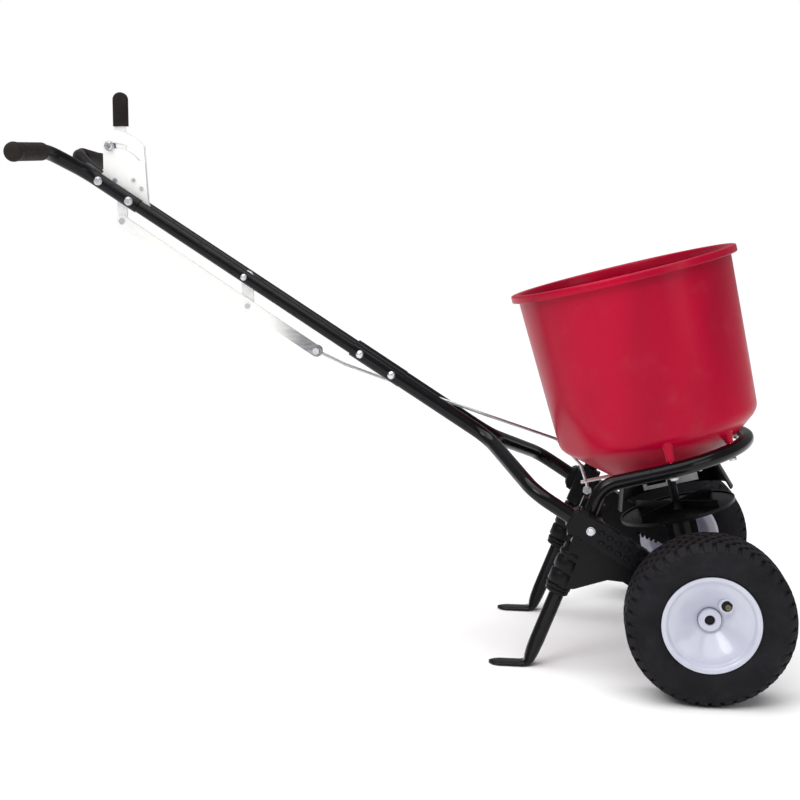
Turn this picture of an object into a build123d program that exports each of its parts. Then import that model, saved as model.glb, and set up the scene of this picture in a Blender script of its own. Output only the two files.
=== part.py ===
from build123d import *
import math
import os

# Walk-behind broadcast spreader, in millimetres, +Z up, +X towards the front.
# Parts are drawn about the axle: X = 0 is above the axle, Z = 0 is the ground.
# Export then shifts everything so that the origin is under the middle of the part.

# ---- driving dimensions -------------------------------------------------
axle_x = 445.622  # where the axle stands in the exported frame
wheel_radius = 114.5
wheel_plane_y = 260.0  # centre plane of each wheel
tyre_width = 89.0
chassis_tilt = 14.14  # hopper and hoop lean back by this angle
axle_radius = 6.35
tube_wall = 1.5
running_gap = 0.05  # radial clearance of shafts and bearings
free_gap = 0.4  # clearance of loose pins

hoop_radius = 11.0  # tube radius of the hoop and legs
hoop_height = 187.0  # above the axle, along the hopper axis
hoop_bend = 143.0  # plan radius of the hoop, and half the leg spacing
hoop_centre_u = -19.5
leg_top_u = -101.8  # where leg and hoop centre lines cross
leg_run = 0.3975  # rearward run of a leg per unit of drop
foot_length = 55.0
foot_width = 28.0
foot_thickness = 5.5
foot_heel_x = -249.0
flat_start = 62.0  # height where each round leg starts to be pressed flat

handle_slope = math.radians(32.65)
handle_bolt_x = -160.0
handle_bolt_z = 211.5
handle_rise = 4.85  # the upper tubes run this much above the line of the lower ends
handle_wide_y = 165.3  # half spacing of the lower tubes beside the hopper
handle_near_y = 16.0  # half spacing where the tubes run together
lower_radius = 11.1
socket_radius = 11.8
middle_radius = 9.525
upper_radius = 11.1
joint_stations = (362.0, 420.0)  # bolts between lower and middle tubes
control_stations = (848.6, 905.3)  # bolts through the upper tubes
hanger_station = 635.0
grip_root = (-987.0, -66.5, 748.0)  # corner where the near tube turns out to the side
grip_end = (-991.4, -197.0, 742.0)  # centre of the near grip's closed end
grip_radius = 13.6
grip_length = 109.0

hopper_wall = 3.0
rim_height = 475.5  # above the axle, along the hopper axis
rim_radius = 171.4
body_top_radius = 161.5
body_low_radius = 152.5
body_low_height = 230.0
hopper_setback = 2.5  # the hopper stands this much behind the impeller shaft
funnel_radius = 76.0
floor_height = 168.0  # inner face of the hopper floor
scoop_azimuths = (150.5, 209.5)  # flat recesses in the rear wall

crown_radius = 38.0
crown_teeth = 40
pinion_teeth = 10
pinion_tip = 9.6
shaft_radius = 4.75
disc_radius = 88.0
disc_height = 100.0
vane_height = 12.0
sleeve_radius = 6.3

lever_pivot = (-902.5, 705.9)
lever_x = -892.6
lever_tail = (-892.6, 643.3)
lever_top = 841.1
stop_bolt = (-910.4, 759.2)
slot_radius = math.dist(lever_pivot, stop_bolt)
hanger_pin = (-693.8, 513.1)
clamp_pin = (-585.6, 444.6)
link_y = (-4.8, -1.8)
rod_radius = 2.4
rod_y = 0.9
gate_hook = (-128.0, 42.0)  # rod hole in the gate, chassis u and Y

chassis = Plane(
    origin=(0, 0, wheel_radius),
    x_dir=(math.cos(math.radians(chassis_tilt)), 0, math.sin(math.radians(chassis_tilt))),
    z_dir=(-math.sin(math.radians(chassis_tilt)), 0, math.cos(math.radians(chassis_tilt))),
)


# ---- small helpers --------------------------------------------------------
def tilted(shape):
    """Move a shape drawn in chassis axes (u forward, w up the hopper axis)."""
    return chassis.location * shape


def chassis_point(u, y, w):
    return chassis.from_local_coords(Vector(u, y, w))


def bar(start, end, radius, inner=0.0):
    """Round bar, or a tube when an inner radius is given."""
    start, end = Vector(*start), Vector(*end)
    section = Circle(radius)
    if inner:
        section -= Circle(inner)
    return extrude(Plane(origin=start, z_dir=end - start) * section, amount=(end - start).length)


def cross_bar(x, z, y_low, y_high, radius, inner=0.0):
    return bar((x, y_low, z), (x, y_high, z), radius, inner)


def hex_bar(x, z, y_low, y_high, across_flats):
    section = RegularPolygon(across_flats / 2, 6, major_radius=False)
    return extrude(Plane(origin=(x, y_low, z), z_dir=(0, 1, 0)) * section, amount=y_high - y_low)


def plate(points, y_low, y_high):
    """Flat plate from an X-Z outline, with its thickness along Y."""
    outline = make_face(Polyline(*[(x, y_low, z) for x, z in points], close=True))
    return extrude(outline, amount=y_high - y_low, dir=(0, 1, 0))


def slab(u_low, u_high, y_low, y_high, w_low, w_high):
    """Box in chassis axes."""
    size = (u_high - u_low, y_high - y_low, w_high - w_low)
    centre = ((u_low + u_high) / 2, (y_low + y_high) / 2, (w_low + w_high) / 2)
    return Pos(*centre) * Box(*size)


def post(u, y, w_low, w_high, radius, inner=0.0):
    return bar((u, y, w_low), (u, y, w_high), radius, inner)


def turned_z(points):
    """Solid of revolution about Z from (radius, height) points."""
    return revolve(make_face(Polyline(*[(r, 0, z) for r, z in points], close=True)), axis=Axis.Z)


def turned_y(points):
    """Solid of revolution about Y from (radius, y) points."""
    return revolve(make_face(Polyline(*[(r, y, 0) for r, y in points], close=True)), axis=Axis.Y)


def bent_bar(points, radius, bend):
    path = FilletPolyline(*points, radius=bend)
    start = Plane(origin=path @ 0, z_dir=path % 0)
    return sweep(start * Circle(radius), path=path)


def bent_tube(points, radius, bend, wall=tube_wall):
    return bent_bar(points, radius, bend) - bent_bar(points, radius - wall, bend)


def handle_point(station, y, rise=handle_rise):
    """Point of the handle plane, at a distance up from the frame bolt."""
    x = handle_bolt_x - station * math.cos(handle_slope)
    z = handle_bolt_z + rise + station * math.sin(handle_slope)
    return (x, y, z)


def lower_end(station):
    """Point of the near lower tube where it runs straight past leg and bracket."""
    return handle_point(station, -handle_wide_y, 0.0)


def other_side(shape):
    return mirror(shape, about=Plane.XZ)


def sector(radius, start, end, w_low, w_high):
    """Pie slice in chassis axes, from one azimuth to another."""
    steps = 12
    angles = [math.radians(start + (end - start) * k / steps) for k in range(steps + 1)]
    outline = [(0, 0, w_low)] + [(radius * math.cos(a), radius * math.sin(a), w_low) for a in angles]
    return extrude(make_face(Polyline(*outline, close=True)), amount=w_high - w_low, dir=(0, 0, 1))


# ---- hoop frame and legs ----------------------------------------------------
def leg_centre(z):
    corner = chassis_point(leg_top_u, 0, hoop_height)
    return corner.X - (corner.Z - z) * leg_run


def hoop_bar(radius, low_z):
    """Hoop round the hopper with both legs down to one height, as one bent bar."""
    corner = chassis_point(leg_top_u, -hoop_bend, hoop_height)
    front_start = chassis_point(hoop_centre_u, -hoop_bend, hoop_height)
    front = chassis_point(hoop_centre_u + hoop_bend, 0, hoop_height)
    front_end = chassis_point(hoop_centre_u, hoop_bend, hoop_height)
    near = FilletPolyline((leg_centre(low_z), -hoop_bend, low_z), corner, front_start, radius=42.0)
    far = mirror(near, about=Plane.XZ)
    edges = near.edges() + ThreePointArc(front_start, front, front_end).edges() + far.edges()
    path = Wire(edges)
    start = Plane(origin=path @ 0, z_dir=path % 0)
    return sweep(start * Circle(radius), path=path)


def foot():
    """Near leg end pressed from a round tube to a blade, and turned back flat."""
    lean = math.hypot(1.0, leg_run)
    sections = []
    for z, half_x, half_y in ((flat_start, hoop_radius * lean, hoop_radius), (30.0, 7.6, 12.6), (2.0, 3.0, 14.0)):
        sections.append(Pos(leg_centre(z), -hoop_bend, z) * Ellipse(half_x, half_y))
    sole = SlotOverall(foot_length, foot_width)
    middle = foot_heel_x - foot_length / 2
    return loft(sections) + extrude(Pos(middle, -hoop_bend, 0) * sole, amount=foot_thickness)


def hoop_frame():
    tube = hoop_bar(hoop_radius, flat_start - 2) + foot() + other_side(foot())
    tube -= hoop_bar(hoop_radius - tube_wall, flat_start + 1)
    tube -= cross_bar(handle_bolt_x, handle_bolt_z, -200, 200, frame_bolt_radius + 0.1)
    for u, y in hopper_pegs():
        tube -= tilted(post(u, y, hoop_height - 15, hoop_height + 15, peg_screw_radius + 0.1))
    return tube


# ---- moulded side brackets -----------------------------------------------
frame_bolt_radius = 4.0
bracket_outer_y = 179.5
bracket_inner_y = 150.5
boss_radius = 20.0
boss_end_y = 206.0
bushing_radius = 9.0


def arm_point(along, across):
    """Point of the bracket arm's outline, measured from frame bolt to axle."""
    dx, dz = 0 - handle_bolt_x, wheel_radius - handle_bolt_z
    length = math.hypot(dx, dz)
    dx, dz = dx / length, dz / length
    return (handle_bolt_x + along * dx - across * dz, handle_bolt_z + along * dz + across * dx)


def leg_sleeve(z_low, z_high, radius):
    low = (leg_centre(z_low), -hoop_bend, z_low)
    high = (leg_centre(z_high), -hoop_bend, z_high)
    return bar(low, high, radius)


def side_bracket():
    """Outer bracket of the near side: arm, web, leg sleeve and axle boss."""
    arm = [arm_point(-34, 15), arm_point(20, 18), arm_point(150, 12), arm_point(188, 10)]
    arm += [arm_point(188, -14), arm_point(120, -16), arm_point(-34, -17)]
    body = plate(arm, -bracket_outer_y, -bracket_inner_y)
    web = [arm_point(-20, -5), arm_point(150, -5), arm_point(142, -34), (-150.0, 121.0), (-205.0, 116.0)]
    body += plate(web, -160.0, -153.0)
    body += leg_sleeve(114, 180, 16.5)
    for z_low, z_high in ((112, 119), (124, 128), (144, 148), (166, 170)):
        body += leg_sleeve(z_low, z_high, 18.5)
    body += cross_bar(0, wheel_radius, -boss_end_y, -bracket_inner_y, boss_radius)
    for k in range(5):
        start, end = 84 + 13 * k, 89 + 13 * k
        rib = [arm_point(start, -14), arm_point(end, -14), arm_point(end, -38), arm_point(start, -38)]
        body += plate(rib, -165.0, -156.0)
    for k in range(4):
        along = 26 + 27 * k
        body += cross_bar(*arm_point(along, 0), -bracket_outer_y - 3, -bracket_outer_y + 1, 8.0 - k)
    body -= leg_sleeve(20, 300, hoop_radius + running_gap)
    body -= bar(lower_end(-28), lower_end(140), lower_radius + running_gap)
    body -= cross_bar(handle_bolt_x, handle_bolt_z, -200, -100, frame_bolt_radius + 0.1)
    body -= cross_bar(0, wheel_radius, -300, -100, bushing_radius)
    return body


def leg_clamp():
    """Inner clamp half behind the near leg, pulled up by the frame bolt."""
    low, high = 187.0, 247.0
    axis = Vector(leg_centre(high) - leg_centre(low), 0, high - low).normalized()
    centre = Vector(leg_centre((low + high) / 2), -128.5, (low + high) / 2)
    block = Plane(origin=centre, x_dir=(0, 1, 0), z_dir=axis) * Box(13, 34, 62)
    for k in (-1, 0, 1):
        rib = Box(4, 4, 62)
        block += Plane(origin=centre + Vector(0, 8, 0), x_dir=(0, 1, 0), z_dir=axis) * (Pos(0, 13 * k, 0) * rib)
    block -= leg_sleeve(20, 320, hoop_radius + running_gap)
    block -= cross_bar(handle_bolt_x, handle_bolt_z, -200, -100, frame_bolt_radius + 0.1)
    block -= cross_bar(handle_bolt_x, handle_bolt_z, -124, -100, 8.5)
    return block


def frame_bolts():
    """Bolt, head and nut that clamp handle, leg and bracket on each side."""
    near = cross_bar(handle_bolt_x, handle_bolt_z, -183.5, -116.5, frame_bolt_radius)
    near += hex_bar(handle_bolt_x, handle_bolt_z, -187.0, -180.0, 13.0)
    near += hex_bar(handle_bolt_x, handle_bolt_z, -124.0, -117.5, 13.0)
    return near + other_side(near)


def axle_bushing():
    return cross_bar(0, wheel_radius, -boss_end_y, -bracket_inner_y, bushing_radius, axle_radius + running_gap)


# ---- handle tubes -----------------------------------------------------------
joint_bolt_radius = 3.0
socket_seat = handle_near_y + socket_radius  # outermost line of a socket, where heads and nuts sit
upper_seat = handle_near_y + upper_radius


def handle_holes(stations, radius):
    holes = None
    for station in stations:
        x, _, z = handle_point(station, 0)
        hole = cross_bar(x, z, -60, 60, radius)
        holes = hole if holes is None else holes + hole
    return holes


def lower_tube():
    route = [lower_end(-27), lower_end(95)]
    route += [handle_point(185, -handle_near_y), handle_point(435, -handle_near_y)]
    tube = bent_tube(route, lower_radius, 48.0)
    socket = bar(handle_point(345, -handle_near_y), handle_point(435, -handle_near_y), socket_radius)
    socket -= bar(handle_point(340, -handle_near_y), handle_point(440, -handle_near_y), lower_radius - tube_wall)
    tube += socket
    tube -= handle_holes(joint_stations, joint_bolt_radius + 0.1)
    return tube - cross_bar(handle_bolt_x, handle_bolt_z, -200, -100, frame_bolt_radius + 0.1)


def middle_tube():
    tube = bar(handle_point(347, -handle_near_y), handle_point(911, -handle_near_y), middle_radius, middle_radius - 1.4)
    return tube - handle_holes(joint_stations + control_stations + (hanger_station,), joint_bolt_radius + 0.1)


def grip_inward():
    return (Vector(*grip_root) - Vector(*grip_end)).normalized()


def upper_tube():
    """Handle end that flares outwards, then turns to the side for the grip."""
    tip = Vector(*grip_end) + grip_inward() * 4
    route = [handle_point(834, -handle_near_y), handle_point(932, -handle_near_y), grip_root, tip]
    tube = bent_tube(route, upper_radius, 45.0)
    return tube - handle_holes(control_stations, joint_bolt_radius + 0.1)


def grip():
    """Rubber sleeve with a closed, slightly bulbed end over the near handle end."""
    end, inward = Vector(*grip_end), grip_inward()
    knob = bar(end, end + inward * 11, grip_radius + 0.9)
    knob = fillet(knob.edges().filter_by(GeomType.CIRCLE), radius=4.5)
    sleeve = knob + bar(end + inward * 6, end + inward * grip_length, grip_radius)
    return sleeve - bar(end + inward * 4, end + inward * 200, upper_radius)


def joint_bolts():
    """Bolts with nuts through the lower and middle tubes of both sides."""
    bolts = []
    for station in joint_stations:
        x, _, z = handle_point(station, 0)
        shank = cross_bar(x, z, -31.0, 33.0, joint_bolt_radius)
        shank += cross_bar(x, z, -32.8, -socket_seat, 6.0)
        shank += hex_bar(x, z, socket_seat, 32.8, 10.0)
        bolts.append(shank)
    return Compound(children=bolts)


def control_bolts():
    """Short screws that hold the control plates between the upper tubes."""
    bolts = []
    for station in control_stations:
        x, _, z = handle_point(station, 0)
        screw = cross_bar(x, z, -29.0, -plate_inner_y - 0.1, joint_bolt_radius)
        screw += hex_bar(x, z, -upper_seat - 4.2, -upper_seat, 10.0)
        bolts += [screw, other_side(screw)]
    return Compound(children=bolts)


# ---- hopper ------------------------------------------------------------------
peg_screw_radius = 2.4
peg_radius = 6.0


def hopper_outline(shift):
    """Outer profile of the hopper moved inwards by a wall thickness."""
    rim, low = body_top_radius - shift, body_low_radius - shift
    floor_z = floor_height - hopper_wall + shift
    points = [(0, floor_z), (funnel_radius - shift * 0.7, floor_z), (low - 13, body_low_height - 11 + shift * 0.8)]
    points += [(low - 5.5, body_low_height - 5 + shift * 0.5), (low - 1.5, body_low_height + 1.5)]
    points += [(low, body_low_height + 8)]
    points += [(rim, rim_height - 12), (rim, rim_height)]
    return points + [(0, rim_height)]


def scoop_block(azimuth, shift):
    """Block whose flat inner face cuts the arched recess in the rear wall."""
    top, base = (155.6 - shift, 302.0), (143.8 - shift, body_low_height - 13.0)
    section = [(base[0], 0, base[1] - 20), (base[0], 0, base[1]), (top[0] + 1.2, 0, top[1] + 8)]
    section += [(260, 0, top[1] + 8), (260, 0, base[1] - 20)]
    face = make_face(Polyline(*section, close=True))
    block = extrude(face, amount=100, dir=(0, 1, 0), both=True)
    return Rot(0, 0, azimuth) * block


def hopper_pegs():
    spots = []
    for angle in (82.0, 40.0, -40.0, -82.0):
        u = hoop_centre_u + hoop_bend * math.cos(math.radians(angle))
        spots.append((u, hoop_bend * math.sin(math.radians(angle))))
    return spots


def floor_boss_spots():
    guide = [(-44, -38), (44, 38), (44, -38), (-19, 38)]
    skirt = [(70.0 * math.cos(math.radians(a)), 70.0 * math.sin(math.radians(a))) for a in (5, 60, 125)]
    return guide, skirt


def hopper():
    outer = turned_z(hopper_outline(0))
    inner = turned_z(hopper_outline(hopper_wall))
    for azimuth in scoop_azimuths:
        outer -= scoop_block(azimuth, 0)
        inner -= scoop_block(azimuth, hopper_wall)
    outer += turned_z([(body_top_radius - 5, rim_height), (rim_radius, rim_height), (rim_radius, rim_height - 11),
                       (rim_radius - 2.5, rim_height - 11), (rim_radius - 2.5, rim_height - 3),
                       (body_top_radius - 5, rim_height - 3)])
    outer = Pos(-hopper_setback, 0, 0) * outer
    inner = Pos(-hopper_setback, 0, 0) * inner
    for u, y in hopper_pegs():
        outer += post(u, y, hoop_height + hoop_radius + 0.3, body_low_height + 6, peg_radius)
    guide, skirt = floor_boss_spots()
    for u, y in guide:
        outer += post(u, y, guide_top, floor_height - 1, 3.5)
    for u, y in skirt:
        outer += post(u, y, skirt_top, floor_height - 1, 4.5)
    shell = outer - inner
    shell -= post(0, 0, floor_height - 20, floor_height + 20, shaft_radius + 0.6)
    for y in (-20.0, 0.0, 20.0):
        shell -= post(30, y, floor_height - 20, floor_height + 20, 8.0)
    for u, y in hopper_pegs():
        shell -= post(u, y, hoop_height, hoop_height + hoop_radius + 12, peg_screw_radius)
    for u, y in guide:
        shell -= post(u, y, guide_top - 1, floor_height - 6, 1.6)
    for u, y in skirt:
        shell -= post(u, y, skirt_top - 1, floor_height - 6, 1.6)
    return tilted(shell)


def hopper_screws():
    screws = []
    for u, y in hopper_pegs():
        screw = post(u, y, hoop_height - hoop_radius - 2, hoop_height + hoop_radius + 10, peg_screw_radius)
        screw += post(u, y, hoop_height - hoop_radius - 3.5, hoop_height - hoop_radius, 5.5)
        screws.append(tilted(screw))
    return Compound(children=screws)


# ---- shut-off gate, guide and deflector ---------------------------------
gate_top = 164.0
gate_thickness = 2.0
guide_top = 160.8
guide_thickness = 1.6
skirt_top = 158.2


def shutoff_gate():
    """Flat gate under the floor, with an arm back to the rod."""
    low, high = gate_top - gate_thickness, gate_top
    hook_u, hook_y = gate_hook
    gate = slab(-30, 63, -30, 30, low, high) + slab(-54, -24, 28, 54, low, high)
    gate += slab(hook_u - 8, -50, hook_y - 9, hook_y + 9, low, high)
    gate += slab(-30, -24, 20, 54, low, high)
    gate -= slab(-7, 31, -6, 6, low - 1, high + 1) + slab(-60, -24, 47, 60, low - 1, high + 1)
    for y in (-20.0, 0.0, 20.0):
        gate -= post(30, y, low - 1, high + 1, 8.0)
    gate -= post(hook_u, hook_y, low - 1, high + 1, rod_radius + 1.6)
    return tilted(gate)


def gate_guide():
    """Sheet-metal channel under the gate, with a windowed flange turned down."""
    low, high = guide_top - guide_thickness, guide_top
    guide = slab(-50, 50, -44, 44, low, high)
    guide += slab(-43, 43, 44 - guide_thickness, 44, 128, high)
    guide -= slab(-37, -7, 40, 50, 134, 152)
    guide -= slab(14, 46, -32, 32, low - 1, high + 1)
    guide -= post(0, 0, low - 1, high + 1, 11.0)
    for u, y in floor_boss_spots()[0]:
        guide -= post(u, y, low - 1, high + 1, 1.9)
    return tilted(guide)


def deflector():
    """Skirt over the disc, open towards the near side."""
    skirt = turned_z([(63, skirt_top), (76, skirt_top), (89, 118), (86.5, 118), (74, skirt_top - 2), (63, skirt_top - 2)])
    skirt = skirt & sector(200, -20, 200, 60, 200)
    for u, y in floor_boss_spots()[1]:
        skirt -= post(u, y, 150, 170, 1.9)
    return tilted(skirt)


def small_screws(spots, seat, radius):
    screws = []
    for u, y in spots:
        screw = post(u, y, seat - 1.5, floor_height - 8, 1.5)
        screw += post(u, y, seat - 2.5, seat, radius)
        screws.append(tilted(screw))
    return Compound(children=screws)


# ---- impeller and gearing ----------------------------------------------
def impeller_shaft():
    shaft = post(0, 0, 22, 186, shaft_radius)
    shaft -= bar((-20, 0, 179), (20, 0, 179), 2.1)
    return tilted(shaft)


def spreader_disc():
    disc = turned_z([(shaft_radius, disc_height - 3), (disc_radius, disc_height - 3), (disc_radius, disc_height + 2),
                     (disc_radius - 2, disc_height + 2), (disc_radius - 2, disc_height), (13, disc_height),
                     (sleeve_radius, disc_height + 12), (sleeve_radius, 146), (shaft_radius, 146)])
    for k in range(4):
        vane = slab(11, disc_radius - 6, -1, 1, disc_height - 1, disc_height + vane_height)
        disc += Rot(0, 0, 45 + 90 * k) * vane
    return tilted(disc)


def agitator():
    """Bent wire pin through the top of the impeller shaft."""
    route = [(-34, 0, 186), (-24, 0, 179), (24, 0, 179), (34, 0, 186)]
    return tilted(bent_bar(route, 2.0, 6.0))


def pinion_gear():
    gear = post(0, 0, 29, 40, 7.4)
    for k in range(pinion_teeth):
        tooth = slab(6.5, pinion_tip, -1.0, 1.0, 33, 39)
        gear += Rot(0, 0, 90 + 360 / pinion_teeth * (k + 0.5)) * tooth
    gear -= post(0, 0, 20, 50, shaft_radius)
    return tilted(gear)


def crown_gear():
    gear = cross_bar(0, 0, 10.4, 16.0, crown_radius)
    gear += cross_bar(0, 0, 10.4, 22.0, 14.0)
    for k in range(crown_teeth):
        tooth = slab(33, crown_radius, 8.0, 11.0, -0.9, 0.9)
        gear += Rot(0, 360 / crown_teeth * k, 0) * tooth
    gear -= cross_bar(0, 0, -50, 50, axle_radius)
    return tilted(gear)


def gearbox_solid(shift):
    """Round gearbox with a neck round the impeller shaft."""
    body = cross_bar(0, 0, -18 + shift, 27 - shift, 46 - shift)
    neck_top = 92 if shift == 0 else 84
    return body + post(0, 0, 20, neck_top, 17 - shift)


def gearbox():
    """Housing halves that meet on the plane of the impeller shaft."""
    shell = gearbox_solid(0)
    for k in range(5):
        shell += slab(-23, 23, -3 + 4 * (k - 2), -2 + 4 * (k - 2), 36, 88 - 2 * abs(k - 2))
    for side in (-1, 1):
        shell += cross_bar(0, 0, -32 if side < 0 else 20, -10 if side < 0 else 40, 13)
    shell -= gearbox_solid(3)
    shell += post(0, 0, 84, 92, 14)
    shell -= cross_bar(0, 0, -100, 100, axle_radius + running_gap)
    shell -= post(0, 0, 15, 120, shaft_radius + running_gap)
    near = shell & slab(-100, 100, -100, 0, -100, 120)
    far = shell & slab(-100, 100, 0, 100, -100, 120)
    return tilted(near), tilted(far)


# ---- axle and wheels ------------------------------------------------------
hub_outer_y = 260.0
hub_inner_y = 222.0
hub_radius = 16.0
axle_end_y = 252.0
valve_offset = 31.0  # valve port in the dish, distance from the axle
valve_angle = 48.0


def axle():
    shaft = cross_bar(0, wheel_radius, -axle_end_y, hub_outer_y + 3, axle_radius)
    return shaft - bar((0, 229, wheel_radius - 30), (0, 229, wheel_radius + 30), 2.5)


def rim_profile():
    """Closed outline of the wheel rim, radius against distance from its middle."""
    outer = [(66.7, 34.0), (66.7, 36.0), (60.0, 35.6), (57.5, 32.0), (55.0, 29.0), (52.5, 27.0)]
    cone = [(46.0, 24.5), (20.0, 3.8), (hub_radius, 2.5), (hub_radius, -5.0)]
    back = [(44.0, 19.0), (47.5, 18.0), (51.5, -27.0), (57.0, -32.0), (60.0, -35.6), (66.7, -36.0)]
    seat = [(66.7, -34.0), (60.5, -33.2), (54.0, -26.0), (50.0, 0.0), (54.0, 26.0), (60.5, 33.2)]
    return outer + cone + back + seat


def valve_place(radius, angle):
    return (radius * math.cos(math.radians(angle)), wheel_radius + radius * math.sin(math.radians(angle)))


def rim(side, bore):
    """Pressed rim with its hub, for the near side (-1) or the far side (1)."""
    body = turned_y([(r, side * (wheel_plane_y + y)) for r, y in rim_profile()])
    hub_low, hub_high = sorted((side * hub_inner_y, side * hub_outer_y))
    body += cross_bar(0, 0, hub_low, hub_high, hub_radius)
    body -= cross_bar(0, 0, hub_low - 5, hub_high + 5, bore)
    body = Pos(0, 0, wheel_radius) * body
    low, high = sorted((side * 230.0, side * 290.0))
    return body - cross_bar(*valve_place(valve_offset, valve_angle), low, high, 9.0)


def valve(side):
    """Bent valve stem standing in the port of the wheel's dish."""
    low, high = sorted((side * 252.0, side * 273.0))
    inner, outer = sorted((side * 271.0, side * 278.0))
    x, z = valve_place(valve_offset, valve_angle)
    tail_x, tail_z = valve_place(49.0, valve_angle)
    tail_y = side * 255.0
    stem = cross_bar(x, z, low, high, 3.6) + cross_bar(x, z, inner, outer, 4.2)
    return stem + bar((x, tail_y, z), (tail_x, tail_y, tail_z), 3.2)


def tyre(side):
    """Plain pneumatic tyre carcass; its tread is added with the looks."""
    half = tyre_width / 2
    outer = [(60.5, 32.9), (66.9, 33.6), (70.5, 37.0), (76.0, 41.5), (88.0, half), (99.0, half - 0.5)]
    outer += [(108.0, half - 3.0), (112.6, half - 9.5), (wheel_radius, half - 19.0), (wheel_radius, 0.0)]
    inner = [(106.0, 0.0), (104.5, 25.0), (98.0, 36.5), (84.0, 38.5), (72.0, 34.0), (62.0, 26.5), (54.4, 25.6)]
    profile = outer + [(r, -y) for r, y in reversed(outer[:-1])]
    profile += [(r, -y) for r, y in reversed(inner)] + inner[1:]
    body = turned_y([(r, side * (wheel_plane_y + y)) for r, y in profile])
    return Pos(0, 0, wheel_radius) * body


def drive_pin():
    """Cross pin that keys the far wheel to the axle."""
    pin = bar((0, 229, wheel_radius - 20), (0, 229, wheel_radius + 19), 2.45)
    return pin + bar((0, 229, wheel_radius + 17), (0, 229, wheel_radius + 20), 4.5)


def wheel_bushings():
    """Two plain bushings pressed into the free wheel's hub."""
    inner = cross_bar(0, wheel_radius, -hub_inner_y - 14, -hub_inner_y, 8.0, axle_radius + running_gap)
    outer = cross_bar(0, wheel_radius, -251.0, -237.0, 8.0, axle_radius + running_gap)
    return Compound(children=[inner, outer])


def axle_cap():
    """Push-on cap that keeps the free wheel on the axle end."""
    cap = cross_bar(0, wheel_radius, -256.0, -251.4, 7.4)
    return cap - cross_bar(0, wheel_radius, -axle_end_y, -240, axle_radius)


def axle_spacers():
    """Collars on the axle between each wheel hub and its bracket."""
    near = cross_bar(0, wheel_radius, -hub_inner_y + 0.4, -boss_end_y - 0.4, 10.0, axle_radius)
    return Compound(children=[near, other_side(near)])


# ---- control linkage ---------------------------------------------------------
plate_inner_y = 2.9
plate_outer_y = 4.9
lever_half = 1.5
stop_radius = 4.0


def polar(centre, radius, angle):
    return (centre[0] + radius * math.sin(angle), centre[1] + radius * math.cos(angle))


def arc_slot(start, end, half_width, y_low, y_high):
    """Cutter for a slot about the lever pivot, angles from straight up."""
    steps = 10
    angles = [start + (end - start) * k / steps for k in range(steps + 1)]
    outline = [polar(lever_pivot, slot_radius + half_width, a) for a in angles]
    outline += [polar(lever_pivot, slot_radius - half_width, a) for a in reversed(angles)]
    cutter = plate(outline, y_low, y_high)
    for angle in (start, end):
        cutter += cross_bar(*polar(lever_pivot, slot_radius, angle), y_low, y_high, half_width)
    return cutter


def control_plate():
    """Near side plate of the lever bracket, with the rate slot."""
    corners = [(-932.0, 701.0), (-932.0, 712.0), (-920.5, 719.0), (-920.5, 781.0), (-911.0, 784.0)]
    corners += [(-897.0, 783.5), (-882.0, 778.5), (-868.0, 770.5), (-855.5, 760.0), (-851.6, 690.0)]
    corners += [(-849.0, 657.0), (-874.0, 664.0)]
    sheet = plate(corners, -plate_outer_y, -plate_inner_y)
    start = math.atan2(stop_bolt[0] - lever_pivot[0], stop_bolt[1] - lever_pivot[1])
    sheet -= arc_slot(start, math.radians(50), stop_radius + 0.4, -10, 0)
    sheet -= cross_bar(*lever_pivot, -10, 0, 4.0)
    for x, z in rivet_spots:
        sheet -= cross_bar(x, z, -10, 0, 2.5)
    for station in control_stations:
        x, _, z = handle_point(station, 0)
        sheet -= cross_bar(x, z, -10, 0, joint_bolt_radius + 0.1)
    return sheet


rivet_spots = ((-872.6, 706.6), (-860.2, 694.0))


def plate_rivets():
    """Shouldered rivets that space the two control plates."""
    rivets = []
    for x, z in rivet_spots:
        rivet = cross_bar(x, z, -plate_outer_y - 1.2, plate_outer_y + 1.2, 2.45)
        rivet += cross_bar(x, z, -plate_inner_y, plate_inner_y, 3.4)
        rivet += cross_bar(x, z, -plate_outer_y - 1.4, -plate_outer_y, 3.2)
        rivet += cross_bar(x, z, plate_outer_y, plate_outer_y + 1.4, 3.2)
        rivets.append(rivet)
    return Compound(children=rivets)


def rate_stop():
    """Hex bolt and nut clamped across the slots of both plates."""
    x, z = stop_bolt
    bolt = cross_bar(x, z, -12.0, 12.5, stop_radius)
    bolt += cross_bar(x, z, -6.7, -plate_outer_y - 0.1, 8.0) + cross_bar(x, z, plate_outer_y + 0.1, 6.7, 8.0)
    return bolt + hex_bar(x, z, -12.2, -6.7, 12.0) + hex_bar(x, z, 6.7, 12.2, 12.0)


def control_lever():
    """Flat lever with a side ear at its pivot."""
    half = 8.0
    outline = [(lever_x - half, 640), (lever_x + half, 640), (lever_x + half, 836), (lever_x - half, 836)]
    strip = plate(outline, -lever_half, lever_half)
    shoulder = [(lever_x - half, 772), (lever_x, 772), (lever_x, 788.8), (lever_x - 10.5, 788.8), (lever_x - 10.5, 777)]
    strip += plate(shoulder, -lever_half, lever_half)
    strip += cross_bar(lever_x, 640, -lever_half, lever_half, half)
    strip += cross_bar(*lever_pivot, -lever_half, lever_half, 9.0)
    strip -= cross_bar(*lever_pivot, -5, 5, 4.0 + running_gap)
    return strip - cross_bar(*lever_tail, -5, 5, 3.0 + running_gap)


def lever_grip():
    blank = Pos(lever_x, 0, lever_top - 26) * Box(23, 12, 52)
    blank = fillet(blank.edges(), radius=4.0)
    return blank - plate([(lever_x - 8, 700), (lever_x + 8, 700), (lever_x + 8, 836), (lever_x - 8, 836)],
                         -lever_half, lever_half)


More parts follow.
